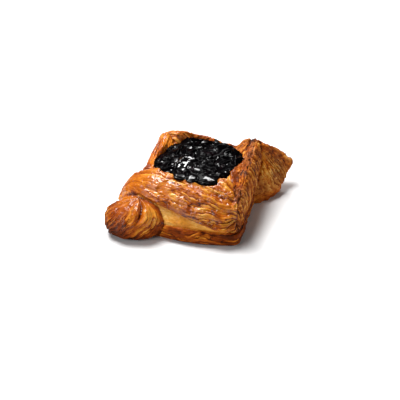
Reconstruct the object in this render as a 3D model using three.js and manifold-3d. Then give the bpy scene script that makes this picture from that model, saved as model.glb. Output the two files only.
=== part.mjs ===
// A baked danish pastry with a jam centre. It is a square sheet of laminated dough whose two L-shaped
// border strips are folded across each other: they cross at two opposite corners, which stay outside the
// square as twisted horns, and together they make a raised rim round a well of dark jam.
// Millimetres, +Z up. The origin is the middle of the footprint, on the face that the pastry rests on,
// and +X runs from the left horn to the right horn.
import * as THREE from "three";
import { mergeVertices } from "three/addons/utils/BufferGeometryUtils.js";
import Module from "manifold-3d";

// The base sheet, a square with bowed sides. Each corner is followed by the bow of the side after it.
const BASE_CORNERS = [
  { x: -50, y: -10, bow: 4 },
  { x: 4, y: -53, bow: 0.5 },
  { x: 48, y: 7, bow: 2 },
  { x: -9, y: 47, bow: 1.5 },
];
const BASE_CORNER_RADIUS = 6;
const BASE_EDGE = 10; // height of the cut edge
const SHEET_TOP = 23; // height of the upper sheet under the rim
const SHEET_SLOPE = 11; // how far in from the edge that height is reached

// The well: a bowl with a squarish outline, and the jam that fills it.
const WELL = new THREE.Vector2(2, 4.5);
const WELL_PROFILE = [
  [0, 18],
  [17, 18.5],
  [24, 23],
  [26.5, 29],
  [27.5, 33],
  [30, 37],
  [36, 43],
]; // [radius, height]
const WELL_SQUARENESS = 0.06;
const WELL_TURN = THREE.MathUtils.degToRad(-10);
const COLLAR_TOP = 32; // height of the dough round the well
const COLLAR_WIDTH = 3.5;
const JAM_LEVEL = 32.5;
const JAM_GAP = 0.3; // clearance between the jam and the dough
const BERRY_COUNT = 34;
const BERRY_RADIUS = 5.5;
const BERRY_RISE = 1.8;

// The rolls of dough on the base. A station is a place on a roll's middle line and the section there,
// [x, y, z, half width, half height]. Lean, in degrees, tips the crest of a roll in over the well. Pinch
// is the share of the half width by which the crest is narrower than the middle. Blunt is the share of
// the length that rounds off at each end. Ridges fan out over a horn from its fold.
const ROLLS = {
  frontLeft: {
    lean: 22,
    blunt: 0.09,
    stations: [
      [-52, 12, 11, 7, 7],
      [-46, 6, 18, 10, 10.5],
      [-38, -3, 22, 12, 12.5],
      [-26, -14, 23, 12.5, 13],
      [-12, -26.5, 23, 12.5, 13],
      [0, -37.5, 21.5, 12, 12.5],
      [7, -43.5, 20, 9, 11.5],
    ],
  },
  frontRight: {
    lean: -8,
    pinch: 0.2,
    blunt: 0.06,
    stations: [
      [3.5, -47, 18, 4, 12],
      [8.5, -39.5, 18.5, 5.5, 13.5],
      [17.5, -26, 20.5, 7, 14.5],
      [27.5, -12.5, 21.5, 7.5, 14.5],
      [35.5, -1, 22.5, 8, 14.5],
      [42, 8, 23, 7, 14],
    ],
  },
  rightSlope: {
    lean: -6,
    blunt: 0.1,
    stations: [
      [0, -36, 18, 9, 12.5],
      [12, -23, 19, 10, 13.5],
      [22.5, -10.5, 20, 10, 13.5],
      [31, 1, 20.5, 9, 13.5],
      [37, 9, 20.5, 8, 14],
    ],
  },
  backRight: {
    lean: 2,
    stations: [
      [43, -4, 17, 7, 9],
      [35, 9, 18.5, 7, 11.5],
      [25, 19, 19.5, 6.5, 12],
      [17, 25.5, 22, 6.5, 13],
      [8, 31.5, 23.7, 6, 13.5],
      [-3, 39, 23.5, 6, 13.5],
      [-10, 44, 22.5, 6, 13],
    ],
  },
  backLeft: {
    lean: 0,
    stations: [
      [-3, 46, 23, 6, 13.5],
      [-12, 32.5, 23, 6.5, 13.5],
      [-21.5, 19.5, 22, 7, 12.5],
      [-30, 8, 20.5, 8, 11.5],
      [-38, -5, 15, 9, 8],
    ],
  },
  leftHorn: {
    fold: { x: -44, y: -9, ridges: 13 },
    stations: [
      [-26, -9, 9, 12, 10],
      [-38, -9.5, 10, 15, 12.5],
      [-48, -8.5, 10, 16, 13.5],
      [-57, -5, 9.5, 13, 11],
      [-64.5, 1, 9, 7, 6.5],
    ],
  },
  rightHorn: {
    lean: 16,
    pinch: 0.25,
    fold: { x: 34, y: 2, ridges: 17 },
    stations: [
      [26, 2, 15, 12, 16],
      [39, 1.5, 17, 13, 19.5],
      [50, 1.5, 16, 11, 16.5],
      [59, 3.5, 16, 7.5, 10.5],
      [70.5, 2.5, 16, 3.5, 4.5],
    ],
  },
};
const RIDGE_DEPTH = 0.03; // of a section's size
const BLUNT = 0.14; // of the rolls that give none
const ROLL_SIDES = 24;
const ROLL_STEPS = 26;

const wasm = await Module();
wasm.setup();

// Closes a unit geometry's seams and poles, and moves every vertex to where shape(vertex) puts it.
function reshape(unit, shape) {
  unit.deleteAttribute("normal");
  unit.deleteAttribute("uv");
  const geometry = mergeVertices(unit);
  const position = geometry.getAttribute("position");
  const vertex = new THREE.Vector3();
  for (let i = 0; i < position.count; i++) {
    const moved = shape(vertex.fromBufferAttribute(position, i));
    position.setXYZ(i, moved.x, moved.y, moved.z);
  }
  return geometry;
}

function toSolid(geometry) {
  const mesh = new wasm.Mesh({
    numProp: 3,
    vertProperties: geometry.getAttribute("position").array,
    triVerts: new Uint32Array(geometry.index.array),
  });
  return new wasm.Manifold(mesh);
}

function toGeometry(solid) {
  const mesh = solid.getMesh();
  const geometry = new THREE.BufferGeometry();
  geometry.setAttribute("position", new THREE.BufferAttribute(mesh.vertProperties, 3));
  geometry.setIndex(new THREE.BufferAttribute(mesh.triVerts, 1));
  geometry.computeVertexNormals();
  return geometry;
}

// Drops loose crumbs and fills sealed hollows.
function largestShell(solid) {
  return solid.decompose().reduce((most, shell) => (shell.volume() > most.volume() ? shell : most));
}

const signedPower = (value, power) => Math.sign(value) * Math.abs(value) ** power;

// The outline of the base, anticlockwise, with round corners and bowed sides.
function baseOutline() {
  const outline = new THREE.CurvePath();
  const corners = BASE_CORNERS.map(({ x, y }) => new THREE.Vector2(x, y));
  const count = corners.length;
  const towards = (from, to) => to.clone().sub(from).setLength(BASE_CORNER_RADIUS).add(from);
  corners.forEach((corner, i) => {
    const next = corners[(i + 1) % count];
    const afterNext = corners[(i + 2) % count];
    const from = towards(corner, next);
    const to = towards(next, corner);
    const outward = to.clone().sub(from).normalize().rotateAround(new THREE.Vector2(), -Math.PI / 2);
    const middle = from.clone().lerp(to, 0.5).addScaledVector(outward, 2 * BASE_CORNERS[i].bow);
    outline.add(new THREE.QuadraticBezierCurve(from, middle, to));
    outline.add(new THREE.QuadraticBezierCurve(to, next, towards(next, afterNext)));
  });
  return outline;
}

// A stack of base outlines. Each level is [inset from the edge, height].
function baseStack(levels) {
  const outline = baseOutline();
  const profile = new THREE.SplineCurve(levels.map(([inset, height]) => new THREE.Vector2(inset, height)));
  const stack = new THREE.CylinderGeometry(1, 1, 1, 80, levels.length + 2);
  return toSolid(
    reshape(stack, ({ x, y, z }) => {
      const turn = (Math.atan2(-z, x) / (2 * Math.PI) + 1) % 1;
      const edge = outline.getPoint(turn);
      const { x: inset, y: height } = profile.getPoint(y + 0.5);
      const share = Math.hypot(x, z) * (1 - inset / edge.length());
      return new THREE.Vector3(edge.x * share, edge.y * share, height);
    }),
  );
}

function baseSolid() {
  return baseStack([
    [2, 0],
    [0, 1.5],
    [-0.8, 5],
    [0, BASE_EDGE - 1],
    [3, BASE_EDGE + 1],
  ]);
}

// The paler sheet on the base, which shows below the rolls.
function upperSheetSolid() {
  return baseStack([
    [3, BASE_EDGE - 2],
    [0.8, BASE_EDGE + 1.5],
    [1.2, BASE_EDGE + 4],
    [SHEET_SLOPE / 2, SHEET_TOP - 3],
    [SHEET_SLOPE, SHEET_TOP],
  ]);
}

// The bowl of the well with its wall moved in by shrink, or out where that is below 0.
function bowlSolid(shrink) {
  const profile = WELL_PROFILE.map(([radius, height]) => new THREE.Vector2(radius, height));
  const top = WELL_PROFILE[WELL_PROFILE.length - 1][1];
  const lathe = new THREE.LatheGeometry([...profile, new THREE.Vector2(0, top)], 64);
  return toSolid(
    reshape(lathe, ({ x, y, z }) => {
      const angle = Math.atan2(-z, x);
      const square = 1 + WELL_SQUARENESS * Math.cos(4 * (angle - WELL_TURN));
      const radius = Math.max(0, Math.hypot(x, z) * square - shrink);
      return new THREE.Vector3(
        WELL.x + radius * Math.cos(angle),
        WELL.y + radius * Math.sin(angle),
        y === top ? y : y + shrink,
      );
    }),
  );
}

function collarSolid() {
  const limit = baseStack([
    [3, BASE_EDGE / 2],
    [3, COLLAR_TOP / 2],
    [4, COLLAR_TOP],
  ]);
  return bowlSolid(-COLLAR_WIDTH).intersect(limit);
}

// How far the ridges of a horn, which fan out from its fold, sink a place towards the middle line.
function ridgeShare({ x, y }, { x: foldX, y: foldY, ridges }) {
  const fan = Math.cos(ridges * Math.atan2(y - foldY, x - foldX));
  return RIDGE_DEPTH * fan * Math.min(1, Math.hypot(x - foldX, y - foldY) / 10);
}

// A roll: superellipse sections swept along its stations, with blunt round ends and a flat underside.
function rollSolid({ stations, lean = 0, pinch = 0, blunt = BLUNT, fold }) {
  const middle = new THREE.CatmullRomCurve3(stations.map(([x, y, z]) => new THREE.Vector3(x, y, z)));
  const sizes = new THREE.SplineCurve(stations.map(([, , , w, h]) => new THREE.Vector2(w, h)));
  const tube = new THREE.CylinderGeometry(1, 1, 1, ROLL_SIDES, ROLL_STEPS);
  const up = new THREE.Vector3(0, 0, 1);
  const tilt = THREE.MathUtils.degToRad(lean);
  return toSolid(
    reshape(tube, ({ x, y, z }) => {
      const along = (1 + Math.sin(Math.PI * y)) / 2;
      const outward = middle.getTangent(along).setZ(0).normalize().cross(up);
      const section = sizes.getPoint(along);
      const reach = Math.min(1, along / blunt, (1 - along) / blunt);
      const end = 0.3 + 0.7 * Math.sqrt(1 - (1 - reach) ** 2);
      const angle = Math.atan2(z, x);
      const size = Math.hypot(x, z) * end;
      const rise = size * signedPower(Math.sin(angle), 0.85);
      const a = size * signedPower(Math.cos(angle), 0.85) * section.x * (1 - pinch * rise);
      const b = rise * section.y;
      const place = middle.getPoint(along);
      place.addScaledVector(outward, a * Math.cos(tilt) - b * Math.sin(tilt));
      place.addScaledVector(up, a * -Math.sin(tilt) + b * Math.cos(tilt));
      if (fold) place.lerp(middle.getPoint(along), ridgeShare(place, fold));
      place.z = Math.max(place.z, 0);
      return place;
    }),
  );
}

function crustSolid() {
  const rolls = Object.values(ROLLS).map(rollSolid);
  const sheets = baseSolid().add(upperSheetSolid()).add(collarSolid());
  const dough = rolls.reduce((sum, roll) => sum.add(roll), sheets);
  return largestShell(dough.subtract(bowlSolid(0)));
}

// How far the berries lift the jam at a place. They lie in a spiral, each a golden angle on.
function berryLift(x, y) {
  const goldenAngle = Math.PI * (3 - Math.sqrt(5));
  let lift = 0;
  for (let i = 0; i < BERRY_COUNT; i++) {
    const reach = 27 * Math.sqrt((i + 0.5) / BERRY_COUNT);
    const dx = x - reach * Math.cos(i * goldenAngle);
    const dy = y - reach * Math.sin(i * goldenAngle);
    lift = Math.max(lift, 1 - (dx * dx + dy * dy) / BERRY_RADIUS ** 2);
  }
  return BERRY_RISE * Math.sqrt(lift);
}

// The jam: a disc with a lumpy top, trimmed to the bowl.
function jamSolid() {
  const rings = 12;
  const disc = new THREE.SphereGeometry(1, 48, 2 * rings);
  const lumpy = reshape(disc, ({ x, y, z }) => {
    const radius = 34 * (1 - Math.abs(Math.asin(THREE.MathUtils.clamp(y, -1, 1))) / (Math.PI / 2));
    const angle = Math.atan2(-z, x);
    const px = radius * Math.cos(angle);
    const py = radius * Math.sin(angle);
    const height = y > 0.01 ? JAM_LEVEL + berryLift(px, py) : JAM_LEVEL - 20;
    return new THREE.Vector3(WELL.x + px, WELL.y + py, height);
  });
  return largestShell(toSolid(lumpy).intersect(bowlSolid(JAM_GAP)));
}

function addPiece(group, name, solid, look) {
  const piece = new THREE.Mesh(toGeometry(solid), new THREE.MeshStandardMaterial(look));
  piece.name = name;
  group.add(piece);
}

const crust = crustSolid();
const { min, max } = crust.boundingBox();
const toOrigin = [-(min[0] + max[0]) / 2, -(min[1] + max[1]) / 2, -min[2]];

const pastry = new THREE.Group();
addPiece(pastry, "crust", crust.translate(toOrigin), { color: 0xb3682a, roughness: 0.45, metalness: 0 });
addPiece(pastry, "jam", jamSolid().translate(toOrigin), { color: 0x14100f, roughness: 0.12, metalness: 0 });

export default pastry;
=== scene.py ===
"""A baked danish pastry: strips of laminated dough folded round a well of dark berry jam."""
import math

import bpy
import bmesh
import numpy as np
from mathutils import Matrix, Vector


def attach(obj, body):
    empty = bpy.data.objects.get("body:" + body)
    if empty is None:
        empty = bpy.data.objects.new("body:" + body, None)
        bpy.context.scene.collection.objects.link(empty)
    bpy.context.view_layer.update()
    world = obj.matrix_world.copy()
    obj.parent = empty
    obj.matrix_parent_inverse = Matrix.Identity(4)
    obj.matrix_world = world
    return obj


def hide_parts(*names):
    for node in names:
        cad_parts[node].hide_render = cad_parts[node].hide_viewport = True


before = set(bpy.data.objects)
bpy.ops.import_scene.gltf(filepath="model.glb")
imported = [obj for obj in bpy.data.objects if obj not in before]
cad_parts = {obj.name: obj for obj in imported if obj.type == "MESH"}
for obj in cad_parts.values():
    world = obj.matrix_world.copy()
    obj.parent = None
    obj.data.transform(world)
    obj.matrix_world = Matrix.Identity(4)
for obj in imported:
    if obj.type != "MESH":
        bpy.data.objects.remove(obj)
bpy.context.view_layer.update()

MM = 0.001  # a millimetre, in the scene's metres

# ---------------------------------------------------------------- sizes, in millimetres

CRUST_VOXEL = 0.42
CRUST_TRIANGLES = 190_000
CRUST_ROUNDS = 14  # how often the dough is smoothed before its layers are raised
CRUST_TOP = 36.8  # what stands higher than this is pressed down
FOOT_HEIGHT = 0.35  # what lies lower than this is laid flat on the floor

JAM_VOXEL = 0.36
JAM_FIRST_VOXEL = 1.5 * JAM_VOXEL
JAM_FIRST_ROUNDS = 12  # how often the jam is smoothed before the fruit is put in
JAM_ROUNDS = 4
JAM_TOP = 35.4
JAM_SPREAD = 1.045  # closes the gap between the jam and the dough
JAM_DIP = 1.4  # how much lower the jam lies at the back
JAM_DIP_FROM, JAM_DIP_TO = 8, 32  # where that starts, and where it is at its full depth

PRESSED_SHARE = 0.6  # how much of what stands above a top is taken away
FLOOR_REACH = 4000

WELL = (0.0005, 0.0067, 0.0)  # the middle of the jam, in metres
WELL_REACH = 25  # the dough under the jam is left plain this far from the middle
WET_SPOT = (-0.0105, 0.0045, 0.034)  # where the jam is smooth and wettest, in metres
WET_EDGE = (0.0055, 0.008)  # how far out its edge starts and ends, in metres
# The other wet places, in metres: the middle of each, and where its edge starts and ends. Last comes
# how thick the syrup is.
WET_PATCHES = [
    ((-0.0235, -0.0045, 0.034), 0.003, 0.006, 1.0),
    ((-0.0155, -0.016, 0.034), 0.003, 0.006, 0.5),
    ((0.006, 0.006, 0.034), 0.001, 0.005, 0.6),
    ((0.0235, 0.0, 0.034), 0.001, 0.004, 0.6),
]

# The middle line of each roll of dough, as (x, y, z, half width, half height) at a few places, and how
# far its crest leans in over the well, in degrees.
ROLLS = {
    "front strip": {
        "lean": 22,
        "pinch": 0,
        "line": [
            (-53.5, 14.2, 11, 7, 7),
            (-47.5, 8.2, 18, 10, 10.5),
            (-39.5, -0.8, 22, 12, 12.5),
            (-27.5, -11.8, 23, 12.5, 13),
            (-13.5, -24.3, 23, 12.5, 13),
            (-1.5, -35.3, 21.5, 12, 12.5),
            (5.5, -41.3, 20, 9, 11.5),
            (16, -50, 19, 9, 11.5),
        ],
    },
    "right strip": {
        "lean": -8,
        "pinch": 0.2,
        "line": [
            (2, -44.8, 18, 4, 12),
            (7, -37.3, 18.5, 5.5, 13.5),
            (16, -23.8, 20.5, 7, 14.5),
            (26, -10.3, 21.5, 7.5, 14.5),
            (34, 1.2, 22.5, 8, 14.5),
            (40.5, 10.2, 23, 7, 14),
        ],
    },
    "right slope": {
        "lean": -6,
        "pinch": 0,
        "line": [
            (5.5, -26, 18.5, 9, 13),
            (10.5, -20.8, 19, 10, 13.5),
            (21, -8.3, 20, 10, 13.5),
            (29.5, 3.2, 20.5, 9, 13.5),
        ],
    },
    "back rim": {
        "lean": 2,
        "pinch": 0,
        "line": [
            (32, 13, 18.5, 7, 11.5),
            (23.5, 21.2, 19.5, 6.5, 12),
            (15.5, 27.7, 22, 6.5, 13),
            (6.5, 33.7, 23.7, 6, 13.5),
            (-4.5, 41.2, 23.5, 6, 13.5),
            (-11.5, 46.2, 22.5, 6, 13),
        ],
    },
    "left rim": {
        "lean": 0,
        "pinch": 0,
        "line": [
            (-4.5, 48.2, 23, 6, 13.5),
            (-13.5, 34.7, 23, 6.5, 13.5),
            (-23, 21.7, 22, 7, 12.5),
            (-31.5, 10.2, 20.5, 8, 11.5),
            (-39.5, -2.8, 15, 9, 8),
        ],
    },
    "left horn": {
        "lean": 0,
        "pinch": 0,
        "line": [
            (-27.5, -6.8, 9, 12, 10),
            (-39.5, -7.3, 10, 15, 12.5),
            (-49.5, -6.3, 10, 16, 13.5),
            (-58.5, -2.8, 9.5, 13, 11),
            (-66, 3.2, 9, 7, 6.5),
        ],
    },
    "right horn": {
        "lean": 16,
        "pinch": 0.25,
        "line": [
            (24.5, 4.2, 15, 12, 16),
            (37.5, 3.7, 17, 13, 19.5),
            (48.5, 3.7, 16, 11, 16.5),
            (57.5, 5.7, 16, 7.5, 10.5),
            (69, 4.7, 16, 3.5, 4.5),
        ],
    },
}
ROLL_POWER = 2.35  # a roll's section is a little squarer than an ellipse
HORN_REACH = 1.1  # within this many half sizes of a horn's middle line, the dough is the horn's
BARE_REACH = 1.22  # past this many half sizes from every roll, the sheet below shows
NO_REACH = 9  # put on a roll's reach past its mitre, where there is no more of it

# How each part is baked. Bake runs from 0, pale, to 1, nearly burnt. The others say how much egg wash
# it has, how deep its layers are and how rough its flakes are.
BAKED = {
    "front strip": {"bake": 0.41, "glaze": 1.0, "ply": 1.0, "flaky": 0.0},
    "right strip": {"bake": 0.57, "glaze": 0.15, "ply": 0.8, "flaky": 1.0},
    "right slope": {"bake": 0.54, "glaze": 0.6, "ply": 0.7, "flaky": 0.3},
    "back rim": {"bake": 0.5, "glaze": 0.5, "ply": 0.6, "flaky": 0.2},
    "left rim": {"bake": 0.52, "glaze": 0.8, "ply": 0.5, "flaky": 0.0},
    "left horn": {"bake": 0.46, "glaze": 1.0, "ply": 0.8, "flaky": 0.0},
    "right horn": {"bake": 0.4, "glaze": 0.1, "ply": 0.7, "flaky": 0.55},
    "pale sheet": {"bake": 0.1, "glaze": 0.5, "ply": 0.25, "flaky": 0.0},
    "cut edge": {"bake": 0.6, "glaze": 0.15, "ply": 0.9, "flaky": 0.0},
    "right wall": {"bake": 0.47, "glaze": 0.0, "ply": 1.0, "flaky": 0.5},
}
PART = {name: number for number, name in enumerate(BAKED)}  # the rolls come first, in their own order

# Places that are paler or browner than the part round them: the middle, the reach and the change. Some of
# them are painted light, as marked.
TONES = [
    ((-7, 37, 34), 9, -0.16),  # the back left corner, paler as a painted highlight that also lifts the painted shade of the crease there
    ((29, 2, 35), 6, -0.15),  # inside the right strip's top end
    ((-55, -19, 11), 10, 0.05),  # low on the left horn
    ((-46, -18, 18), 6, -0.1),  # beside the left horn's slit
    ((-66, -10, 14), 7, 0.03),  # the left horn's tip
    ((-41.5, -17, 15), 7.5, -0.24),  # where the left horn meets the pale sheet, paler: partly its own golden tone, partly painted light on the shade there
    ((-8, -42, 4), 24, 0.06),  # the base's front edge
    ((2, -41, 25), 9, -0.06),  # the front strip's right end
    ((-45, 0.5, 27), 9, 0.07),  # the front strip's left end
    ((15, -23, 34), 6, 0.08),  # the right slope's lower end
    ((52, 8, 27), 9, 0.16),  # the right horn's upper edge
    ((45, -4, 15), 11, -0.06),  # the right horn's front face, paler as painted light on a face turned away from the lamps
]

# The rough place on the right horn, where torn layers crowd together: place, reach and amount.
ROUGH_SPOT = (53, -3, 17)
ROUGH_REACH = 6
ROUGH_AMOUNT = 0.9

SLIT = (-47.1, -11.3, 23.1)  # a place in the deep slit beside the left horn's main pleat
SLIT_LENGTH = 12
SLIT_WIDTH = 0.9
SLIT_DEPTH = 1.3
PLEAT_ASIDE = 2.6  # how far the main pleat's crest is from the slit
PLEAT_WIDTH = 1.7
PLEAT_HEIGHT = 0.9
SHEET_EDGE = 10.5  # height of the cut edge of the base
SHEET_DROP = 1.4  # how much lower the pale sheet lies than the dough over it
STRIP_EDGE = 25  # height of the front strip's lower edge, where it is highest
STRIP_EDGE_ALONG = 22  # how far along the strip that is
WALL_ALONG = np.array((0.591, 0.806, 0.0))  # the way the right wall runs

# The mitres where two strips meet at a corner: a place on each, the level way across it, and the rolls
# that lie behind it and ahead of it.
MITRES = {
    "front": ((2.5, -50.8, 0), (0.964, -0.265, 0), ["front strip"], ["right strip", "right slope"]),
    "back": ((-7.7, 43.4, 0), (0.982, 0.191, 0), ["left rim"], ["back rim"]),
}

# Where the jam has run over the front strip: the middle of each spill, and its half sizes along the
# strip, across it and upward. All are turned to lie along the strip.
SPILLS = [
    ((-6.0, -18.6, 34.2), (9.5, 6.0, 2.1)),
    ((-19.5, -9.5, 34.8), (5.5, 3.8, 1.8)),
    ((-13.5, -14.5, 34.8), (4.5, 4.8, 1.8)),
    ((-24.0, 1.0, 34.7), (5.0, 3.8, 1.8)),
]
SPILL_TURN = math.radians(-46)
SPILL_PRESS = 1.3  # how far each presses the dough under it down

# Where the jam's edge lies lower than the dough beside it: place, reach and depth.
JAM_DIPS = [
    ((-30.5, -2.5), 5.0, 2.6),
    ((8.5, -20.5), 5.5, 2.6),
]

# Soft folds that rise from the dough: the two ends of each, its half width and how far it rises. They
# are the one that covers the low ledge between the jam and the right slope, and the right horn's crest.
SOFT_FOLDS = [
    ((5.5, -24.5), (18.5, -8.5), 4.2, 2.7),
    ((43.5, 11), (51, 10.5), 5.5, 2.0),
]

HORN_TIP = np.array((70.0, 4.0, 17.5))  # the right horn's tip, which is sharper than its solid
HORN_TIP_START = 58
HORN_TIP_TAPER = 0.42

# The two places where the pleats of each horn meet.
PLEAT_ENDS = {
    "left horn": ((-45.5, -7, 25), (-66.5, -3, 3)),
    "right horn": ((39, 9, 38), (60, -2, 2)),
}
PLEAT_RADIUS = 13  # turns an angle round a horn into a distance
BASE_RADIUS = 45  # does the same for the angle round the whole pastry
MITRE_REACH = 1.3  # how far from a mitre its crease is felt
MITRE_GROOVE = 0.4  # how deep it is, as a share of a crease

# How fast the layers fade in and out along their length, per millimetre: the bold ones and the fine ones.
BOLD_SPREAD = 0.085
FINE_SPREAD = 0.14

# What each geometry tree is given. The steps, heights and depths of the dough's relief are in
# millimetres, the lengths of the flakes and the fruit are in metres, and the tilt is in radians.
RELIEF = {
    "Fold Step": 8.0, "Fold Height": 0.6, "Layer Step": 3.0, "Layer Height": 0.6, "Fine Step": 1.4,
    "Fine Height": 0.22, "Tear Depth": 0.5, "Wrinkle": 0.5, "Crinkle": 1.7, "Lump": 1.4,
    "Blister": 0.3, "Flake": 0.45, "Groove": 0.8, "Pit": 0.7, "Seed": 3.0,
}
FLAKES = {
    "Density": 450_000, "Shortest": 1.8 * MM, "Longest": 3.6 * MM, "Lift": -0.05 * MM, "Tilt": 0.08,
    "Seed": 5.0,
}
FRUIT = {
    "Reach": 28.5 * MM, "Clear Reach": 5.5 * MM, "Spacing": 3.8 * MM, "Smallest": 2.2 * MM,
    "Largest": 4.6 * MM, "Flatness": 0.31, "Sink": 0.22, "Berry Share": 0.3, "Ripple": 0.7 * MM,
    "Seed": 6.0,
}

# The camera: the way it looks, the place it looks at and how far off it is, in metres.
AZIMUTH = math.radians(-23)
ELEVATION = math.radians(35)
AIM = Vector((-0.0002, 0.0038, 0.0029))
DISTANCE = 0.634
LENS = 85
SENSOR = 36

ROOM_LIGHT = 0.08  # how bright the white room round the lights is


# ---------------------------------------------------------------- colour and node maths


def srgb(red, green, blue):
    """A colour given in display values from 0 to 255, as linear values with alpha."""
    def linear(value):
        value /= 255
        return value / 12.92 if value <= 0.04045 else ((value + 0.055) / 1.055) ** 2.4

    return (linear(red), linear(green), linear(blue), 1.0)


class Value:
    """A node's output. Arithmetic on it adds Math nodes to its tree."""

    def __init__(self, graph, socket):
        self.graph = graph
        self.socket = socket

    def __add__(self, other):
        return self.graph.math("ADD", self, other)

    def __sub__(self, other):
        return self.graph.math("SUBTRACT", self, other)

    def __rsub__(self, other):
        return self.graph.math("SUBTRACT", other, self)

    def __mul__(self, other):
        return self.graph.math("MULTIPLY", self, other)

    def __truediv__(self, other):
        return self.graph.math("DIVIDE", self, other)

    def __pow__(self, other):
        return self.graph.math("POWER", self, other)

    __radd__ = __add__
    __rmul__ = __mul__


class Graph:
    """A shader or geometry tree that is written as expressions."""

    def __init__(self, tree):
        self.tree = tree

    def node(self, kind, settings, values, output=0):
        """Adds a node: its settings first, a ramp's stops among them, then its sockets."""
        made = self.tree.nodes.new(kind)
        for name, setting in settings.items():
            if name == "stops":
                self.set_stops(made.color_ramp, setting)
            else:
                setattr(made, name, setting)
        for key, value in values.items():
            self.feed(made.inputs[key], value)
        return None if output is None else Value(self, made.outputs[output])

    def set_stops(self, ramp, stops):
        while len(ramp.elements) < len(stops):
            ramp.elements.new(0.5)
        for element, (place, colour) in zip(ramp.elements, stops):
            element.position = place
            element.color = colour

    def feed(self, socket, value):
        """Links a value to a socket, or sets the socket if it is a plain number, colour or vector."""
        if isinstance(value, Value):
            self.tree.links.new(value.socket, socket)
        else:
            socket.default_value = value

    def math(self, operation, *values):
        return self.node("ShaderNodeMath", {"operation": operation}, dict(enumerate(values)))

    def step(self, value, low, high):
        """0 below low and 1 above high, with a smooth rise between. It falls if high is the lower one."""
        settings = {"interpolation_type": "SMOOTHSTEP"}
        return self.node("ShaderNodeMapRange", settings, {0: value, 1: low, 2: high})

    def vector(self, x, y, z):
        return self.node("ShaderNodeCombineXYZ", {}, {0: x, 1: y, 2: z})

    def split(self, vector):
        """The three numbers in a vector."""
        first = self.node("ShaderNodeSeparateXYZ", {}, {0: vector})
        return [Value(self, socket) for socket in first.socket.node.outputs]

    def position(self):
        """The place of each vertex, in a geometry tree."""
        return self.node("GeometryNodeInputPosition", {}, {})

    def noise(self, place, scale, detail=2.0, roughness=0.5):
        values = {"Vector": place, "Scale": scale, "Detail": detail, "Roughness": roughness}
        return self.node("ShaderNodeTexNoise", {}, values)

    def combine(self, operation, first, second):
        """A vector worked out from two others, or from a vector and a number when it is scaled."""
        other = "Scale" if operation == "SCALE" else 1
        return self.node("ShaderNodeVectorMath", {"operation": operation}, {0: first, other: second})

    def length(self, vector):
        return self.node("ShaderNodeVectorMath", {"operation": "LENGTH"}, {0: vector}, "Value")

    def random(self, low, high, seed):
        """A random number for each point."""
        values = {2: low, 3: high, "Seed": seed}
        return self.node("FunctionNodeRandomValue", {"data_type": "FLOAT"}, values, 1)

    def mix(self, share, first, second):
        """A colour between two colours."""
        return self.node("ShaderNodeMix", {"data_type": "RGBA"}, {0: share, 6: first, 7: second}, 2)


# ---------------------------------------------------------------- mesh helpers


def add_object(name, mesh):
    made = bpy.data.objects.new(name, mesh)
    bpy.context.scene.collection.objects.link(made)
    return made


def merged_copy(node, name):
    """A copy of a CAD node's mesh whose triangles share their corners."""
    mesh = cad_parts[node].data.copy()
    mesh.name = name
    mesh.materials.clear()
    work = bmesh.new()
    work.from_mesh(mesh)
    bmesh.ops.remove_doubles(work, verts=work.verts, dist=0.001 * MM)
    work.to_mesh(mesh)
    work.free()
    return add_object(name, mesh)


def bake_modifiers(thing):
    """Turns an object with modifiers into a plain mesh."""
    graph = bpy.context.evaluated_depsgraph_get()
    mesh = bpy.data.meshes.new_from_object(thing.evaluated_get(graph), depsgraph=graph)
    old = thing.data
    thing.modifiers.clear()
    thing.data = mesh
    bpy.data.meshes.remove(old)


def modify(thing, kind, **settings):
    modifier = thing.modifiers.new(kind.title(), kind)
    for name, value in settings.items():
        setattr(modifier, name, value)


def places_of(mesh):
    flat = np.empty(len(mesh.vertices) * 3)
    mesh.vertices.foreach_get("co", flat)
    return flat.reshape(-1, 3)


def set_places(mesh, places):
    mesh.vertices.foreach_set("co", places.ravel())
    mesh.update()


def set_attribute(mesh, name, values):
    layer = mesh.attributes.new(name, "FLOAT", "POINT")
    layer.data.foreach_set("value", np.asarray(values, float))


def smooth_step(values, low, high):
    """0 below low and 1 above high, with a smooth rise between, for plain numbers."""
    share = np.clip((values - low) / (high - low), 0, 1)
    return share * share * (3 - 2 * share)


def shade_smooth(mesh):
    mesh.polygons.foreach_set("use_smooth", [True] * len(mesh.polygons))


def soften(mesh, values, rounds):
    """Evens out values between neighbouring vertices."""
    ends = np.empty(len(mesh.edges) * 2, int)
    mesh.edges.foreach_get("vertices", ends)
    ends = ends.reshape(-1, 2)
    values = values.astype(float)
    count = np.bincount(ends.ravel(), minlength=len(values)) + 1.0
    for _ in range(rounds):
        total = values + np.bincount(ends[:, 0], values[ends[:, 1]], len(values))
        total += np.bincount(ends[:, 1], values[ends[:, 0]], len(values))
        values = total / count
    return values


def rest_on_floor(mesh):
    """Presses the underside flat on the floor."""
    points = places_of(mesh)
    points[:, 2] = np.where(points[:, 2] < FOOT_HEIGHT * MM, 0, points[:, 2])
    set_places(mesh, points)


def press_down(mesh, top):
    """Takes away part of what stands above a height given in millimetres."""
    points = places_of(mesh)
    above = np.maximum(points[:, 2] - top * MM, 0)
    points[:, 2] -= PRESSED_SHARE * above
    set_places(mesh, points)


# ---------------------------------------------------------------- geometry trees


def new_geometry_tree(name, sizes):
    """A geometry tree with a mesh input and output, and an input for each name in sizes."""
    tree = bpy.data.node_groups.new(name, "GeometryNodeTree")
    tree.interface.new_socket("Geometry", in_out="INPUT", socket_type="NodeSocketGeometry")
    tree.interface.new_socket("Geometry", in_out="OUTPUT", socket_type="NodeSocketGeometry")
    for size in sizes:
        tree.interface.new_socket(size, in_out="INPUT", socket_type="NodeSocketFloat")
    graph = Graph(tree)
    entry = tree.nodes.new("NodeGroupInput")
    inputs = {socket.name: Value(graph, socket) for socket in entry.outputs if socket.name}
    return graph, inputs


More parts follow.
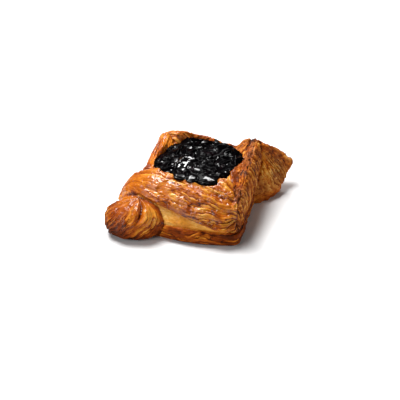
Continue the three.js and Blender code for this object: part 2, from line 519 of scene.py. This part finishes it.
def end_tree(graph, flow, material):
    """Ends a geometry tree with real meshes in one finish."""
    flow = graph.node("GeometryNodeRealizeInstances", {}, {0: flow})
    flow = graph.node("GeometryNodeSetMaterial", {}, {"Geometry": flow, "Material": material})
    graph.node("NodeGroupOutput", {"is_active_output": True}, {"Geometry": flow}, None)
    return graph.tree


def stored_number(graph, name):
    """Reads a vertex attribute, in a geometry tree."""
    return graph.node("GeometryNodeInputNamedAttribute", {"data_type": "FLOAT"}, {"Name": name})


def run_tree(thing, tree, inputs):
    """Applies a geometry tree to an object, with its inputs given by name."""
    modifier = thing.modifiers.new(tree.name, "NODES")
    modifier.node_group = tree
    for item in tree.interface.items_tree:
        if item.item_type == "SOCKET" and item.in_out == "INPUT" and item.name in inputs:
            modifier[item.identifier] = inputs[item.name]
    bake_modifiers(thing)


# ---------------------------------------------------------------- the dough's regions


def read_line(stations, steps=80):
    """Evenly spread places on a roll's middle line, with the half sizes there, in millimetres."""
    stations = np.array(stations, float)
    legs = np.linalg.norm(np.diff(stations[:, :3], axis=0), axis=1)
    along = np.concatenate([[0], np.cumsum(legs)])
    spread = np.linspace(0, along[-1], steps)
    line = np.stack([np.interp(spread, along, column) for column in stations.T], 1)
    kernel = np.ones(9) / 9
    padded = np.pad(line, ((4, 4), (0, 0)), "reflect", reflect_type="odd")
    smooth = np.stack([np.convolve(column, kernel, "valid") for column in padded.T], 1)
    return spread, smooth


def measure_roll(points, roll):
    """For each point: how far out it is (1 on the roll's surface), how far along and round it is, which
    way the roll runs there, and how far past the roll's ends it is, in half widths."""
    spread, line = read_line(roll["line"])
    gaps = ((points[:, None, :] - line[None, ::4, :3]) ** 2).sum(2)
    nearest = gaps.argmin(1) * 4
    tangent = np.gradient(line[:, :3], axis=0)
    tangent /= np.linalg.norm(tangent, axis=1)[:, None]
    slip = ((points - line[nearest, :3]) * tangent[nearest]).sum(1)
    along = np.clip(spread[nearest] + slip, 0, spread[-1])
    index = np.clip(np.round(along / spread[1]).astype(int), 0, len(spread) - 1)
    ahead = tangent[index]
    offset = points - line[index, :3]
    slip = (offset * ahead).sum(1)
    level = ahead[:, :2] / np.linalg.norm(ahead[:, :2], axis=1)[:, None]
    outward = offset[:, 0] * level[:, 1] - offset[:, 1] * level[:, 0]
    upward = offset[:, 2]
    lean = math.radians(roll["lean"])
    wide = (outward * math.cos(lean) + upward * math.sin(lean)) / math.cos(2 * lean)
    high = (outward * math.sin(lean) + upward * math.cos(lean)) / math.cos(2 * lean)
    high /= line[index, 4]
    wide /= line[index, 3] * (1 - roll["pinch"] * np.clip(high, -1, 1))
    past_end = np.abs(slip) / line[index, 3]
    reach = sum(np.abs(share) ** ROLL_POWER for share in (wide, high, past_end))
    return reach ** (1 / ROLL_POWER), along, np.arctan2(high, wide), ahead, past_end


def pleat_turn(points, ends):
    """The angle round the axis through a horn's two pleat ends, how far along it, and its way."""
    start, end = np.array(ends[0], float), np.array(ends[1], float)
    axis = (end - start) / np.linalg.norm(end - start)
    side = np.cross(axis, (0, 0, 1))
    side /= np.linalg.norm(side)
    other = np.cross(axis, side)
    offset = points - start
    return np.arctan2(offset @ side, offset @ other), offset @ axis, axis


def slit_shape(points):
    """The slit beside the left horn's main pleat, from 0 to 1, and the pleat that stands over it."""
    angle, depth, _ = pleat_turn(points, PLEAT_ENDS["left horn"])
    middle, _, _ = pleat_turn(np.array([SLIT]), PLEAT_ENDS["left horn"])
    aside = (angle - middle) * PLEAT_RADIUS
    reach = smooth_step(depth, -1.5, 1.5) * (1 - smooth_step(depth, SLIT_LENGTH - 6, SLIT_LENGTH))
    near = points[:, 2] > 14
    slit = np.exp(-((aside / SLIT_WIDTH) ** 2)) * reach * near
    pleat = np.exp(-(((aside - PLEAT_ASIDE) / PLEAT_WIDTH) ** 2)) * reach * near
    return slit, pleat


def strip_edge_height(along):
    """How high the lower edge of the front strip lies. It is highest where the left horn starts."""
    past = along - STRIP_EDGE_ALONG
    return STRIP_EDGE - 0.226 * np.maximum(past, 0) - 0.6 * np.maximum(-past, 0)


def sort_into_parts(points):
    """The part that each point is on, as a number from PART, with its place in the layers: across them
    and along them, in millimetres, and the way they run. Last comes how near the next part is, from 0
    to 1."""
    height = points[:, 2]
    measures = [measure_roll(points, roll) for roll in ROLLS.values()]
    reaches = np.stack([measure[0] for measure in measures])
    past_mitre = {}
    for mitre, (corner, way, behind, ahead) in MITRES.items():
        past_mitre[mitre] = (points - corner) @ np.array(way)
        for name in behind:
            reaches[PART[name]] += (past_mitre[mitre] > 0) * NO_REACH
        for name in ahead:
            reaches[PART[name]] += (past_mitre[mitre] < 0) * NO_REACH
    nearest = reaches.argmin(0)
    along = np.choose(nearest, [measure[1] for measure in measures])
    turn = np.choose(nearest, [measure[2] for measure in measures])
    grain = np.stack([measure[3] for measure in measures])[nearest, np.arange(len(points))]
    cut_end = np.choose(nearest, [measure[4] for measure in measures]) > 0.4
    cut_end &= np.isin(nearest, (PART["back rim"], PART["left rim"]))

    # A crease lies where a point is as near to one roll as to another. The right slope makes none.
    apart = np.sort(np.delete(reaches, PART["right slope"], 0), axis=0)
    crease = 1 - smooth_step(apart[1] - apart[0], 0.0, 0.16)
    for mitre, near in (("front", points[:, 1] < -18), ("back", (points[:, 1] > 30) & (height > 25))):
        by_mitre = 1 - smooth_step(np.abs(past_mitre[mitre]), 0.0, MITRE_REACH)
        crease = np.maximum(crease, MITRE_GROOVE * by_mitre * near)

    # The layers of the front strip start across its left end, and run level farther right.
    front = nearest == PART["front strip"]
    across = np.where(front, turn * 12.5 + 16 * (1 - np.exp(-along / 30)), turn * 10)

    # Each of these rules overrules the ones before it.
    part = np.where(front & (strip_edge_height(along) >= height), PART["pale sheet"], nearest)
    bare = reaches.min(0) > BARE_REACH
    part = np.where(bare, PART["pale sheet"], part)
    right_side = (past_mitre["front"] > 0) & (points[:, 0] > 3) & (points[:, 1] < 8)
    wall = bare & right_side & (height > SHEET_EDGE)
    wall |= (nearest == PART["right strip"]) & (turn < math.radians(70))
    part = np.where(wall, PART["right wall"], part)
    part = np.where(height < SHEET_EDGE, PART["cut edge"], part)

    # The pleats of a horn run round it, from one of their ends to the other.
    for name, ends in PLEAT_ENDS.items():
        horn = (reaches[PART[name]] < HORN_REACH) & (nearest == PART[name])
        part = np.where(horn, PART[name], part)
        horn = part == PART[name]
        angle, depth, axis = pleat_turn(points, ends)
        across = np.where(horn, angle * PLEAT_RADIUS, across)
        along = np.where(horn, depth, along)
        grain = np.where(horn[:, None], axis, grain)

    # The sheets of the base and the cut ends of the rims have level layers, without a crease.
    level = np.isin(part, (PART["pale sheet"], PART["cut edge"])) | cut_end
    across = np.where(level, height, across)
    along = np.where(level, np.arctan2(points[:, 1], points[:, 0]) * BASE_RADIUS, along)
    crease = np.where(level, 0.0, crease)

    # The layers of the right wall stand on end, with a slant.
    wall = part == PART["right wall"]
    across = np.where(wall, points @ WALL_ALONG + 0.35 * height, across)
    along = np.where(wall, height, along)
    grain = np.where(wall[:, None], (0.0, 0.0, 1.0) - 0.3 * WALL_ALONG, grain)
    return part, across, along, grain, crease


def weigh_baking_and_painted_light(mesh, points, part, along):
    """How brown, glazed, layered and flaky the dough is at each vertex."""
    height = points[:, 2]
    left_horn = part == PART["left horn"]
    weights = {}
    for key in ("bake", "glaze", "ply", "flaky"):
        by_part = [baked[key] for baked in BAKED.values()]
        weights[key] = soften(mesh, np.choose(part, by_part), 3)

    # The foot of the dough is browner, and more so at the left horn and its tip.
    weights["bake"] += 0.22 * (1 - smooth_step(height, 2, 17)) * left_horn
    weights["bake"] += 0.1 * (1 - smooth_step(height, 0, 5))
    weights["bake"] += 0.18 * (1 - smooth_step(points[:, 0], -70, -54))
    # Some of the tones are painted light rather than baked tone, as marked in TONES.
    for spot, reach, change in TONES:
        weights["bake"] += change * np.exp(-((points - spot) ** 2).sum(1) / reach ** 2)
    rough = ROUGH_AMOUNT * np.exp(-((points - ROUGH_SPOT) ** 2).sum(1) / ROUGH_REACH ** 2)
    weights["ply"] += rough
    weights["flaky"] += 0.5 * rough

    # The egg wash was brushed on from above, and the foot isn't flaky.
    weights["glaze"] *= smooth_step(height, 6, 20)
    weights["flaky"] *= smooth_step(height, 4, 9)

    # The dough is smoother where it is stretched: at the front strip's left end and on top of the horn.
    front = part == PART["front strip"]
    weights["ply"] *= np.where(front, 0.5 + 0.6 * smooth_step(along, 22, 48), 1.0)
    weights["ply"] *= np.where(left_horn, 1.1 - 0.55 * smooth_step(height, 12, 23), 1.0)
    return weights


def mark_regions(mesh):
    """Stores each vertex's place in the layers, and the weights of the reliefs and finishes there."""
    points = places_of(mesh) / MM
    part, across, along, grain, crease = sort_into_parts(points)
    left_horn = part == PART["left horn"]
    slit, pleat = slit_shape(points)
    pale = (part == PART["pale sheet"]) * 1.0
    pressed = np.zeros(len(points))
    for spot, (long, _, _) in SPILLS:
        away = np.linalg.norm(points - spot, axis=1)
        pressed = np.maximum(pressed, 1 - smooth_step(away, 0.5 * long, long))
    fold = (PLEAT_HEIGHT * pleat - SLIT_DEPTH * slit) * left_horn
    fold = fold - SHEET_DROP * soften(mesh, pale, 1) - SPILL_PRESS * pressed

    # The relief keeps still on the floor and under the jam.
    middle = np.hypot(points[:, 0] - WELL[0] / MM, points[:, 1] - WELL[1] / MM)
    still = np.maximum(1 - smooth_step(points[:, 2], 0.3, 2.5), (middle < WELL_REACH) * 1.0)

    stored = weigh_baking_and_painted_light(mesh, points, part, along)
    stored.update({"layer": across, "along": along, "part": part, "fold": fold, "still": still})
    stored["crease"] = np.maximum(crease, slit * left_horn)
    for name, values in stored.items():
        set_attribute(mesh, name, values)
    runs = mesh.attributes.new("grain", "FLOAT_VECTOR", "POINT")
    runs.data.foreach_set("vector", grain.astype(float).ravel())


# ---------------------------------------------------------------- the dough and its flakes


def layer_lines(graph, phase, along, spread, sharp):
    """Overlapping layers, one for each whole number of the phase. Each rises slowly and drops sharply,
    and fades in and out along its length. Gives its height, its dropping edge and its own tone."""
    row = graph.math("FLOOR", phase)
    rise = graph.math("FRACT", phase)
    edge = graph.step(rise, sharp, 1.0)
    shown = graph.noise(graph.vector(along * spread, row * 5.3, 3.0), 1.0, 1.0)
    shown = graph.step(shown, 0.38, 0.58)
    tone = graph.noise(graph.vector(along * spread * 0.7, row * 7.9, 8.0), 1.0, 2.0) - 0.5
    return graph.step(rise, -0.1, sharp) * (1 - edge) * shown, edge * shown, tone


def relief_tree(material):
    """Pushes the dough's surface out and in: overlapping layers, wrinkles, blisters and creases."""
    graph, given = new_geometry_tree("dough relief", RELIEF)
    layer, along, part = [stored_number(graph, name) for name in ("layer", "along", "part")]
    place = graph.position()
    spot = graph.combine("ADD", graph.combine("SCALE", place, 1 / MM), graph.vector(given["Seed"], 0.0, 0.0))

    bend = (graph.noise(spot, 0.045, 1.0) - 0.5) * 12.0 + (graph.noise(spot, 0.22, 2.0) - 0.5) * 3.0
    fold = graph.math("SINE", (layer + bend) / given["Fold Step"] * (2 * math.pi))
    fold = fold * graph.step(graph.noise(spot, 0.05, 1.0), 0.35, 0.6)
    bold_phase = (layer + bend) / given["Layer Step"] + part * 3.7
    fine_phase = (layer + bend * 0.7) / given["Fine Step"] + part * 3.7
    bold, _, _ = layer_lines(graph, bold_phase, along, BOLD_SPREAD, 0.8)
    fine, _, _ = layer_lines(graph, fine_phase, along, FINE_SPREAD, 0.8)
    torn = graph.noise(graph.vector(along * 0.05, layer * 0.26, part * 2.0 + 11.0), 1.0, 3.0, 0.55)
    tear = graph.step(torn, 0.57, 0.61)
    grain = graph.noise(graph.vector(along * 0.1, layer * 0.9, part * 4.0), 1.0, 3.0) - 0.5
    lumps = graph.noise(spot, 0.13, 2.0) - 0.5
    crinkle = graph.math("ABSOLUTE", graph.noise(spot, 0.34, 3.0, 0.6) - 0.5)
    cells = {"feature": "SMOOTH_F1"}
    blister = graph.node("ShaderNodeTexVoronoi", cells, {"Vector": spot, "Scale": 0.28})
    blister = graph.step(blister, 0.42, 0.1) * graph.step(graph.noise(spot, 0.1, 1.0), 0.52, 0.62)
    flake = graph.noise(graph.vector(along * 0.22, layer * 0.45, part), 1.0, 3.0, 0.6)
    flake = graph.step(flake, 0.5, 0.54) * stored_number(graph, "flaky")
    pit = graph.step(graph.noise(spot, 0.42, 2.0, 0.6), 0.52, 0.64) * stored_number(graph, "flaky")

    layers = bold * given["Layer Height"] + fine * given["Fine Height"] + grain * given["Wrinkle"]
    layers = layers - tear * given["Tear Depth"] + fold * given["Fold Height"]
    relief = layers * stored_number(graph, "ply") + flake * given["Flake"]
    relief = relief + lumps * given["Lump"] + blister * given["Blister"] - crinkle * given["Crinkle"]
    relief = relief - stored_number(graph, "crease") * given["Groove"] - pit * given["Pit"]
    moving = 1 - stored_number(graph, "still")
    rise = (relief * moving + stored_number(graph, "fold")) * MM

    offset = graph.combine("SCALE", graph.node("GeometryNodeInputNormal", {}, {}), rise)
    flow = given["Geometry"]
    # The finish reads these again, so that its colours follow the relief.
    kept = {"pit": pit, "torn": torn, "bold phase": bold_phase, "fine phase": fine_phase}
    for name, value in kept.items():
        values = {"Geometry": flow, "Name": name, "Value": value}
        flow = graph.node("GeometryNodeStoreNamedAttribute", {"data_type": "FLOAT"}, values)
    flow = graph.node("GeometryNodeSetPosition", {}, {"Geometry": flow, "Offset": offset})
    return end_tree(graph, flow, material)


def sharpen_tip(mesh):
    """Draws the right horn's tip in to a point."""
    points = places_of(mesh) / MM
    share = HORN_TIP_TAPER * smooth_step(points[:, 0], HORN_TIP_START, HORN_TIP[0])
    points[:, 1:] += share[:, None] * (HORN_TIP[1:] - points[:, 1:])
    set_places(mesh, points * MM)


def raise_folds(mesh):
    """Lifts the soft folds out of the dough's upper face."""
    points = places_of(mesh) / MM
    for start, end, width, rise in SOFT_FOLDS:
        way = np.subtract(end, start)
        offset = points[:, :2] - start
        share = np.clip(offset @ way / (way @ way), 0, 1)
        away = np.linalg.norm(offset - share[:, None] * way, axis=1) / width
        points[:, 2] += rise * np.exp(-(away ** 2)) * smooth_step(points[:, 2], 18, 28)
    set_places(mesh, points * MM)


def build_crust(material):
    crust = merged_copy("crust", "dough")
    modify(crust, "REMESH", mode="VOXEL", voxel_size=CRUST_VOXEL * MM)
    bake_modifiers(crust)
    raise_folds(crust.data)
    sharpen_tip(crust.data)
    modify(crust, "SMOOTH", factor=0.5, iterations=CRUST_ROUNDS)
    bake_modifiers(crust)
    mark_regions(crust.data)
    run_tree(crust, relief_tree(material), RELIEF)
    rest_on_floor(crust.data)
    press_down(crust.data, CRUST_TOP)
    count = 2 * len(crust.data.polygons)
    modify(crust, "DECIMATE", ratio=min(1.0, CRUST_TRIANGLES / count))
    bake_modifiers(crust)
    shade_smooth(crust.data)
    return crust


def flake_shape(graph):
    """A thin curled flake along X, one unit long and a quarter as wide, that lies on Z = 0."""
    values = {"Size": (1.0, 0.25, 0.03), "Vertices X": 7, "Vertices Y": 3, "Vertices Z": 2}
    slab = graph.node("GeometryNodeMeshCube", {}, values)
    x, y, z = graph.split(graph.position())
    taper = 1 - (x * 2.0) ** 2 * 0.7
    curl = (y + 0.125) ** 2 * 2.2 + graph.math("SINE", x * 5.0) * 0.05
    moved = graph.vector(x, y * taper, z * taper + curl)
    return graph.node("GeometryNodeSetPosition", {}, {"Geometry": slab, "Position": moved})


def flake_tree(material):
    """Lays curled flakes along the layers, where the dough is flaky."""
    graph, given = new_geometry_tree("crust flakes", FLAKES)
    seed = given["Seed"]
    patchy = graph.noise(graph.position(), 110.0, 2.0)
    share = graph.step(stored_number(graph, "flaky"), 0.5, 0.9) * graph.step(patchy, 0.42, 0.6)
    share = share * (1 - stored_number(graph, "still"))
    values = {"Mesh": given["Geometry"], "Density": share * given["Density"], "Seed": seed}
    points = graph.node("GeometryNodeDistributePointsOnFaces", {}, values)
    normal = Value(graph, points.socket.node.outputs["Normal"])
    grain = graph.node("GeometryNodeInputNamedAttribute", {"data_type": "FLOAT_VECTOR"}, {"Name": "grain"})
    upright = {"axis": "Z"}
    turn = graph.node("FunctionNodeAlignRotationToVector", upright, {"Vector": normal})
    along = {"axis": "X", "pivot_axis": "Z"}
    turn = graph.node("FunctionNodeAlignRotationToVector", along, {"Rotation": turn, "Vector": grain})

    def random_number(low, high, number):
        return graph.random(low, high, seed + number)

    swing = graph.vector(
        random_number(given["Tilt"] * -1.0, given["Tilt"], 1.0),
        random_number(given["Tilt"] * -0.4, given["Tilt"] * 0.4, 2.0),
        random_number(given["Tilt"] * -1.0, given["Tilt"], 3.0),
    )
    values = {"Rotation": turn, "Rotate By": swing}
    turn = graph.node("FunctionNodeRotateRotation", {"rotation_space": "LOCAL"}, values)
    size = random_number(given["Shortest"], given["Longest"], 4.0)
    scale = graph.vector(size, size * random_number(0.6, 1.3, 5.0), size)
    lift = graph.combine("SCALE", normal, given["Lift"])
    points = graph.node("GeometryNodeSetPosition", {}, {"Geometry": points, "Offset": lift})
    values = {"Points": points, "Instance": flake_shape(graph), "Rotation": turn, "Scale": scale}
    flow = graph.node("GeometryNodeInstanceOnPoints", {}, values)
    return end_tree(graph, flow, material)


def build_flakes(crust, material):
    flakes = add_object("flakes", crust.data.copy())
    run_tree(flakes, flake_tree(material), FLAKES)
    shade_smooth(flakes.data)
    return flakes


# ---------------------------------------------------------------- finishes


def new_material(name):
    material = bpy.data.materials.new(name)
    material.use_nodes = True
    shader = material.node_tree.nodes["Principled BSDF"]
    return material, Graph(material.node_tree), shader.inputs


def baked_dough():
    """Egg-washed dough: pale where it was covered, brown on its edges, with a thin shiny glaze. Its cracks,
    creases and pits hold painted shade, and its layers' lips painted highlights.
    """
    material, graph, shader = new_material("baked dough")

    def stored(name):
        return graph.node("ShaderNodeAttribute", {"attribute_name": name}, {}, "Fac")

    place = graph.node("ShaderNodeTexCoord", {}, {}, "Object")
    layer, along, ply = stored("layer"), stored("along"), stored("ply")
    bold, bold_edge, bold_tone = layer_lines(graph, stored("bold phase"), along, BOLD_SPREAD, 0.9)
    fine, fine_edge, fine_tone = layer_lines(graph, stored("fine phase"), along, FINE_SPREAD, 0.86)
    clouds = graph.noise(place, 60.0, 4.0, 0.6) - 0.5
    specks = graph.noise(place, 420.0, 3.0, 0.6) - 0.5
    threads = graph.noise(graph.vector(along * 0.12, layer * 1.6, 0.0), 1.0, 4.0, 0.65) - 0.5
    threads = threads * (ply * 0.8 + 0.2)

    # Browning and painted light: the dark edges of the layers are partly browned crust and partly painted
    # shade in the cracks, the creases and pits are darkened with painted shade, and the raised lips of the
    # layers are lightened as painted highlights.
    browning_and_painted_light = stored("bake") + clouds * 0.5 + specks * 0.2 + threads * 0.5
    browning_and_painted_light = browning_and_painted_light + (bold_tone * 0.75 + fine_tone * 0.45) * ply
    browning_and_painted_light = browning_and_painted_light + (bold_edge * 0.45 + fine_edge * 0.25) * ply + stored("crease") * 0.3
    browning_and_painted_light = browning_and_painted_light + stored("pit") * 0.3
    browning_and_painted_light = browning_and_painted_light - (bold * 0.26 + fine * 0.12) * ply + stored("flaky") * specks * 0.6 + ply * 0.04
    torn = stored("torn")
    rim = graph.step(torn, 0.54, 0.57) * (1 - graph.step(torn, 0.57, 0.6))
    browning_and_painted_light = browning_and_painted_light + (rim * 0.25 - graph.step(torn, 0.58, 0.61) * 0.16) * ply + 0.06
    stops = [
        (0.0, srgb(246, 196, 108)),
        (0.2, srgb(226, 152, 54)),
        (0.42, srgb(192, 104, 20)),
        (0.6, srgb(146, 62, 6)),
        (0.78, srgb(98, 38, 5)),
        (1.0, srgb(48, 18, 4)),
    ]
    dull_stops = [
        (0.0, srgb(226, 178, 120)),
        (0.25, srgb(198, 138, 80)),
        (0.45, srgb(170, 104, 50)),
        (0.62, srgb(134, 72, 30)),
        (0.8, srgb(86, 42, 18)),
        (1.0, srgb(44, 22, 12)),
    ]
    colour = graph.node("ShaderNodeValToRGB", {"stops": stops}, {0: browning_and_painted_light})
    dull = graph.node("ShaderNodeValToRGB", {"stops": dull_stops}, {0: browning_and_painted_light})
    floury = stored("flaky") * graph.step(clouds, -0.12, 0.06)
    graph.feed(shader["Base Color"], graph.mix(floury * 0.8, colour, dull))
    graph.feed(shader["Roughness"], 0.62 - stored("glaze") * 0.2 + specks * 0.3)
    wash = graph.step(clouds + specks * 0.5 + threads * 0.5, -0.1, 0.1)
    graph.feed(shader["Coat Weight"], stored("glaze") * (wash * 0.9 + 0.1))
    shader["Coat Roughness"].default_value = 0.17
    shader["Specular IOR Level"].default_value = 0.07
    skin = graph.noise(place, 520.0, 3.0, 0.6)
    height = threads * 0.8 + specks * 0.3 + skin * 0.5 + (bold * 0.9 + fine * 0.5) * ply
    bump = graph.node("ShaderNodeBump", {}, {"Strength": 0.7, "Distance": 0.0006, "Height": height})
    graph.feed(shader["Normal"], bump)
    return material


def berry_jam():
    """Dark jam: almost black, with a coat of syrup that is thick and shiny in a few places."""
    material, graph, shader = new_material("berry jam")
    place = graph.node("ShaderNodeTexCoord", {}, {}, "Object")

    def wetness(spot, near, far):
        reach = graph.length(graph.combine("SUBTRACT", place, spot))
        reach = reach + (graph.noise(place, 200.0, 3.0) - 0.5) * 0.012
        return 1 - graph.step(reach, near, far)

    stain = graph.noise(place, 180.0, 3.0, 0.6)
    colour = graph.mix(graph.step(stain, 0.55, 0.8), srgb(3, 2, 3), srgb(24, 6, 12))
    graph.feed(shader["Base Color"], colour)
    wet = wetness(WET_SPOT, *WET_EDGE)
    for spot, near, far, syrup in WET_PATCHES:
        wet = graph.math("MAXIMUM", wet, wetness(spot, near, far) * syrup)
    glints = graph.step(graph.noise(place, 260.0, 2.0), 0.57, 0.62)
    graph.feed(shader["Coat Weight"], graph.math("MAXIMUM", wet, glints * 0.42 + 0.03))
    shader["Coat Roughness"].default_value = 0.06
    shader["Specular IOR Level"].default_value = 0.006
    graph.feed(shader["Roughness"], 0.3 + glints * 0.2)
    skin = graph.noise(place, 700.0, 3.0, 0.6)
    bump = graph.node("ShaderNodeBump", {}, {"Strength": 0.25, "Distance": 0.0004, "Height": skin})
    graph.feed(shader["Normal"], bump)
    return material


def plain_material(name, colour, roughness):
    material, _, shader = new_material(name)
    shader["Base Color"].default_value = colour
    shader["Roughness"].default_value = roughness
    return material


# ---------------------------------------------------------------- the jam


def drupelet_ball(graph):
    """A berry of the bramble kind, one unit in radius, with small round swellings all over."""
    ball = graph.node("GeometryNodeMeshIcoSphere", {}, {"Radius": 1.0, "Subdivisions": 4})
    place = graph.position()
    cells = graph.node("ShaderNodeTexVoronoi", {}, {"Vector": place, "Scale": 2.6, "Randomness": 0.6})
    swell = graph.step(cells, 0.62, 0.1) * 0.22 - 0.12
    offset = graph.combine("SCALE", place, swell)
    return graph.node("GeometryNodeSetPosition", {}, {"Geometry": ball, "Offset": offset})


def fruit_lump(graph):
    """A piece of broken fruit, one unit in radius."""
    ball = graph.node("GeometryNodeMeshIcoSphere", {}, {"Radius": 1.0, "Subdivisions": 4})
    place = graph.position()
    dents = (graph.noise(place, 1.1, 2.0) - 0.5) * 1.3
    offset = graph.combine("SCALE", place, dents)
    return graph.node("GeometryNodeSetPosition", {}, {"Geometry": ball, "Offset": offset})


def fruit_tree(material):
    """Beds whole berries and broken fruit in the upper face of the jam."""
    graph, given = new_geometry_tree("fruit in jam", FRUIT)
    seed = given["Seed"]
    normal = graph.node("GeometryNodeInputNormal", {}, {})
    upward = graph.node("ShaderNodeSeparateXYZ", {}, {0: normal}, 2)
    place = graph.position()
    flat = graph.combine("MULTIPLY", graph.combine("SUBTRACT", place, WELL), (1, 1, 0))
    inside = graph.math("LESS_THAN", graph.length(flat), given["Reach"])
    from_wet = graph.length(graph.combine("SUBTRACT", place, WET_SPOT))
    inside = inside * graph.math("GREATER_THAN", from_wet, given["Clear Reach"])
    upper = graph.math("GREATER_THAN", upward, 0.5) * inside
    values = {
        "Mesh": given["Geometry"],
        "Selection": upper,
        "Distance Min": given["Spacing"],
        "Density Max": 100_000.0,
        "Seed": seed,
    }
    points = graph.node("GeometryNodeDistributePointsOnFaces", {"distribute_method": "POISSON"}, values)

    def random_number(low, high, number):
        return graph.random(low, high, seed + number)

    size = random_number(given["Smallest"], given["Largest"], 1.0)
    scale = graph.vector(size, size * random_number(0.6, 1.0, 2.0), size * given["Flatness"])
    turn = random_number(0.0, 2 * math.pi, 3.0)
    sink = graph.vector(0.0, 0.0, size * given["Sink"] * -1.0)
    points = graph.node("GeometryNodeSetPosition", {}, {"Geometry": points, "Offset": sink})
    is_berry = graph.math("LESS_THAN", random_number(0.0, 1.0, 4.0), given["Berry Share"])
    parts = []
    for piece, chosen in ((drupelet_ball(graph), is_berry), (fruit_lump(graph), 1 - is_berry)):
        values = {
            "Points": points,
            "Selection": chosen,
            "Instance": piece,
            "Rotation": graph.vector(turn * 0.15, turn * 0.1, turn),
            "Scale": scale,
        }
        parts.append(graph.node("GeometryNodeInstanceOnPoints", {}, values))
    # The ripple moves the jam and the fruit together, so the fruit is made real before it.
    joined = graph.node("GeometryNodeJoinGeometry", {}, {0: given["Geometry"]})
    for part in parts:
        graph.tree.links.new(part.socket, joined.socket.node.inputs[0])
    flow = graph.node("GeometryNodeRealizeInstances", {}, {0: joined})
    ripple = graph.node("ShaderNodeTexNoise", {}, {"Scale": 230.0, "Detail": 2.0}, "Color")
    ripple = graph.combine("SUBTRACT", ripple, (0.5, 0.5, 0.5))
    ripple = graph.combine("SCALE", ripple, given["Ripple"])
    flow = graph.node("GeometryNodeSetPosition", {}, {"Geometry": flow, "Offset": ripple})
    return end_tree(graph, flow, material)


def add_spills(mesh):
    """Adds the flat lobes of jam that lie over the front strip."""
    work = bmesh.new()
    work.from_mesh(mesh)
    for middle, (long, wide, high) in SPILLS:
        place = Matrix.Translation(Vector(middle) * MM) @ Matrix.Rotation(SPILL_TURN, 4, "Z")
        place = place @ Matrix.Diagonal((long * MM, wide * MM, high * MM, 1))
        bmesh.ops.create_icosphere(work, subdivisions=4, radius=1, matrix=place)
    work.to_mesh(mesh)
    work.free()


def lower_edges(mesh):
    """Sinks the jam where the dough beside it stands above its edge."""
    points = places_of(mesh) / MM
    for spot, reach, depth in JAM_DIPS:
        away = np.linalg.norm(points[:, :2] - spot, axis=1)
        share = (1 - smooth_step(away, 0.5 * reach, reach)) * smooth_step(points[:, 2], 28, 31)
        points[:, 2] -= depth * share
    set_places(mesh, points * MM)


def build_jam(material):
    jam = merged_copy("jam", "filling")
    points = places_of(jam.data)
    middle = np.array(WELL)
    points = middle + (points - middle) * (JAM_SPREAD, JAM_SPREAD, 1)
    upper = points[:, 2] > 30 * MM
    points[:, 2] -= JAM_DIP * MM * smooth_step(points[:, 1] / MM, JAM_DIP_FROM, JAM_DIP_TO) * upper
    set_places(jam.data, points)
    add_spills(jam.data)
    modify(jam, "REMESH", mode="VOXEL", voxel_size=JAM_FIRST_VOXEL * MM)
    bake_modifiers(jam)
    modify(jam, "SMOOTH", factor=0.5, iterations=JAM_FIRST_ROUNDS)
    bake_modifiers(jam)
    run_tree(jam, fruit_tree(material), FRUIT)
    modify(jam, "REMESH", mode="VOXEL", voxel_size=JAM_VOXEL * MM)
    bake_modifiers(jam)
    lower_edges(jam.data)
    modify(jam, "SMOOTH", factor=0.5, iterations=JAM_ROUNDS)
    bake_modifiers(jam)
    press_down(jam.data, JAM_TOP)
    shade_smooth(jam.data)
    jam.data.materials.clear()
    jam.data.materials.append(material)
    return jam


# ---------------------------------------------------------------- floor, light and camera


def build_floor():
    size = FLOOR_REACH * MM
    mesh = bpy.data.meshes.new("floor")
    corners = [(-size, -size, 0), (size, -size, 0), (size, size, 0), (-size, size, 0)]
    mesh.from_pydata(corners, [], [(0, 1, 2, 3)])
    floor = add_object("floor", mesh)
    mesh.materials.append(plain_material("pale floor", (0.8, 0.8, 0.8, 1), 0.6))


def add_light(name, direction, distance, size, power, colour=(1, 1, 1)):
    light = bpy.data.lights.new(name, "AREA")
    light.shape = "RECTANGLE"
    light.size, light.size_y = size
    light.energy = power
    light.color = colour
    lamp = add_object(name, light)
    direction = Vector(direction).normalized()
    lamp.location = direction * distance
    lamp.rotation_euler = direction.to_track_quat("Z", "Y").to_euler()


def light_scene():
    world = bpy.data.worlds.new("studio")
    bpy.context.scene.world = world
    world.use_nodes = True
    world.node_tree.nodes["Background"].inputs["Color"].default_value = (1, 1, 1, 1)
    world.node_tree.nodes["Background"].inputs["Strength"].default_value = ROOM_LIGHT
    add_light("key softbox", (-0.15, 0.35, 0.92), 0.9, (0.42, 0.42), 13.0)
    add_light("left softbox", (-0.9, -0.2, 0.6), 1.2, (0.6, 0.6), 4.2, (0.97, 0.98, 1))
    add_light("right softbox", (0.8, -0.7, 0.45), 1.4, (0.8, 0.8), 2.5, (1, 0.96, 0.9))
    add_light("window", (0.28, 0.75, 0.6), 1.2, (0.2, 0.25), 4.2)
    bpy.context.scene.view_settings.view_transform = "Standard"


def place_camera():
    camera = bpy.data.cameras.new("camera")
    camera.lens = LENS
    camera.sensor_width = SENSOR
    holder = add_object("camera", camera)
    back = Vector((
        math.sin(AZIMUTH) * math.cos(ELEVATION),
        -math.cos(AZIMUTH) * math.cos(ELEVATION),
        math.sin(ELEVATION),
    ))
    holder.location = AIM + back * DISTANCE
    holder.rotation_mode = "QUATERNION"
    holder.rotation_quaternion = (-back).to_track_quat("-Z", "Y")
    bpy.context.scene.camera = holder


# ---------------------------------------------------------------- the whole pastry

dough_finish = baked_dough()
crust = build_crust(dough_finish)
flakes = build_flakes(crust, dough_finish)
jam = build_jam(berry_jam())
build_floor()
light_scene()
place_camera()

for piece, node in ((crust, "crust"), (flakes, "crust"), (jam, "jam")):
    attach(piece, "root")
    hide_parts(node)
